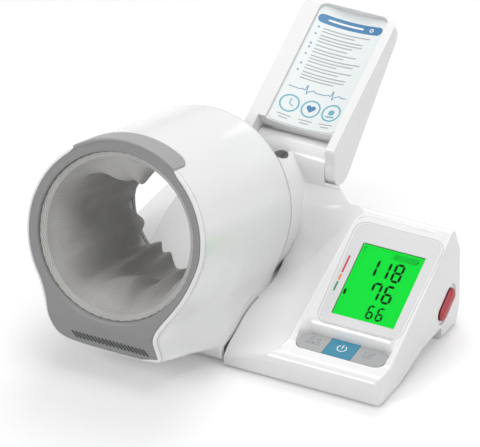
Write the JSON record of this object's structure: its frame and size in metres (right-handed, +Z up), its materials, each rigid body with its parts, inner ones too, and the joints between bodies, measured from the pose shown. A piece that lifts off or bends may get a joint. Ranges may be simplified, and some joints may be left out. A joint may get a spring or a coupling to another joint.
{
  "type": "arm_in_blood_pressure_monitor",
  "caption": "Desk blood pressure monitor with a tilting arm tunnel, fabric cuff, sloping green display, keys, stop button, elbow tray and a flip-up instruction lid.",
  "frame": {"origin": "middle of the front rubber strip's underside on the desk", "axes": "X right across the display, Y back away from the user, Z up from the desk"},
  "size_m": [0.3047, 0.3529, 0.2083],
  "materials": {
    "white_shell": "glossy moulded white plastic",
    "grey_bezel": "fine matte mid-grey plastic",
    "light_grey_plastic": "satin light grey plastic",
    "overlay_grey": "glossy pale grey film",
    "lcd_green": "bright green backlit display",
    "clear_lens": "clear lens",
    "inner_plastic": "matte dark moulding",
    "grey_key": "satin grey key",
    "blue_key": "satin blue key",
    "red_button": "satin red button",
    "cuff_fabric": "ribbed warm grey cloth",
    "bladder_rubber": "matte rubber sheet",
    "foot_rubber": "matte rubber",
    "steel": "machined steel",
    "brass_contact": "bright brass",
    "board_green": "solder-masked board",
    "cell_wrap": "printed sleeve",
    "card_white": "printed card",
    "speaker_grey": "fine grey mesh"
  },
  "bodies": {
    "base": {"base_housing": "white_shell", "bottom_cover": "light_grey_plastic", "bottom_screws": "steel", "battery_cells": "cell_wrap", "battery_contacts": "brass_contact", "rubber_feet": "foot_rubber", "display_overlay": "overlay_grey", "lcd_lens": "clear_lens", "lcd_panel": "lcd_green", "lcd_frame": "inner_plastic", "key_guide": "inner_plastic", "key_switches": "inner_plastic", "circuit_board": "board_green", "stop_switch": "inner_plastic", "air_pump": "steel", "release_valve": "inner_plastic", "air_hose": "bladder_rubber", "dc_socket": "inner_plastic", "tunnel_shaft": "steel", "hinge_block": "white_shell", "speaker_grille": "speaker_grey", "speaker": "inner_plastic", "lid_pins": "steel"},
    "tunnel": {"tunnel_shell": "white_shell", "front_bezel": "grey_bezel", "top_tab": "light_grey_plastic", "back_ring": "light_grey_plastic", "cuff_drum": "inner_plastic", "air_bladder": "bladder_rubber", "cuff_sleeve": "cuff_fabric", "hinge_bushes": "inner_plastic", "back_ring_screws": "steel"},
    "lid": {"lid_tray": "white_shell", "instruction_card": "card_white"},
    "user_key": {"user_key": "grey_key"},
    "start_key": {"start_key": "blue_key"},
    "memory_key": {"memory_key": "grey_key"},
    "stop_button": {"stop_button": "red_button"},
    "battery_cover": {"battery_cover": "light_grey_plastic"}
  },
  "joints": [
    {"name": "tunnel_tilt", "type": "hinge", "parent": "base", "child": "tunnel", "pos_m": [-0.1, -0.004, 0.013], "axis": [1, 0, 0], "range_deg": [0, 15]},
    {"name": "lid_flip", "type": "hinge", "parent": "base", "child": "lid", "pos_m": [-0.088, 0.152, 0.1125], "axis": [1, 0, 0], "range_deg": [0, 55]},
    {"name": "battery_cover_slide", "type": "slide", "parent": "base", "child": "battery_cover", "axis": [0, 1, 0], "range_m": [0, 0.008]},
    {"name": "stop_press", "type": "slide", "parent": "base", "child": "stop_button", "axis": [-1, 0, 0], "range_m": [0, 0.001], "stiffness_N_per_m": 500, "springref_m": -0.0006},
    {"name": "user_key_press", "type": "slide", "parent": "base", "child": "user_key", "axis": [0, 0.0872, -0.9962], "range_m": [0, 0.0008], "stiffness_N_per_m": 500, "springref_m": -0.0006},
    {"name": "start_key_press", "type": "slide", "parent": "base", "child": "start_key", "axis": [0, 0.0872, -0.9962], "range_m": [0, 0.0008], "stiffness_N_per_m": 500, "springref_m": -0.0006},
    {"name": "memory_key_press", "type": "slide", "parent": "base", "child": "memory_key", "axis": [0, 0.0872, -0.9962], "range_m": [0, 0.0008], "stiffness_N_per_m": 500, "springref_m": -0.0006}
  ]
}
